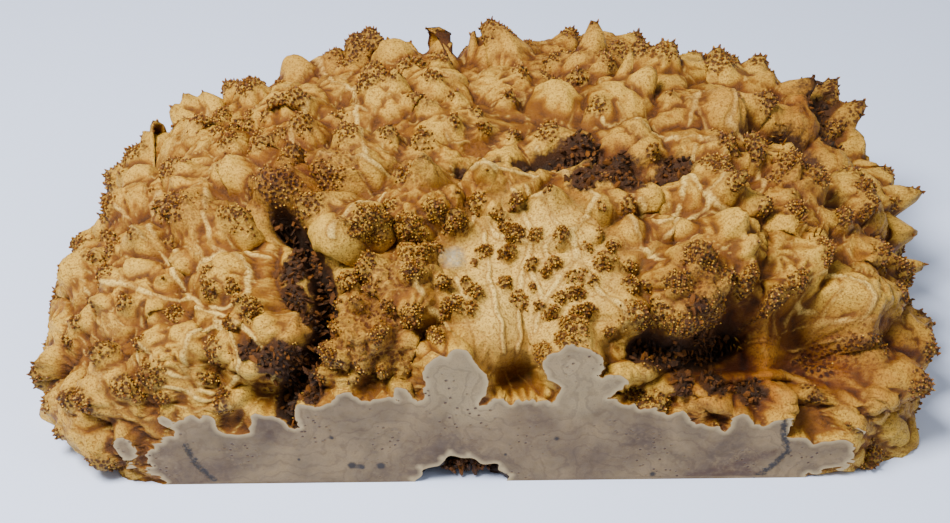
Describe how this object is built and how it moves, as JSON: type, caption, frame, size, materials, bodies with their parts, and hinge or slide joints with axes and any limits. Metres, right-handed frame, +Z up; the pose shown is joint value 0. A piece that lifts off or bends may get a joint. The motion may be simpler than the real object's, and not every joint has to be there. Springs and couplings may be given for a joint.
{
  "type": "burl cap",
  "caption": "Knobbly cap of a maple burl with a flat sawn base and a flat sawn front, a raw natural block of figured wood.",
  "frame": {"origin": "on the sawn base, near the middle of its length, where the base lies on the ground", "axes": "+X along the length, to the right when the sawn front faces the viewer; +Y from the sawn front to the back; +Z up, out of the sawn base"},
  "size_m": [0.4029, 0.2641, 0.1122],
  "materials": {
    "maple_burl": "raw wood, bark removed, matt"
  },
  "bodies": {
    "root": {"burl_cap": "maple_burl"}
  },
  "joints": []
}
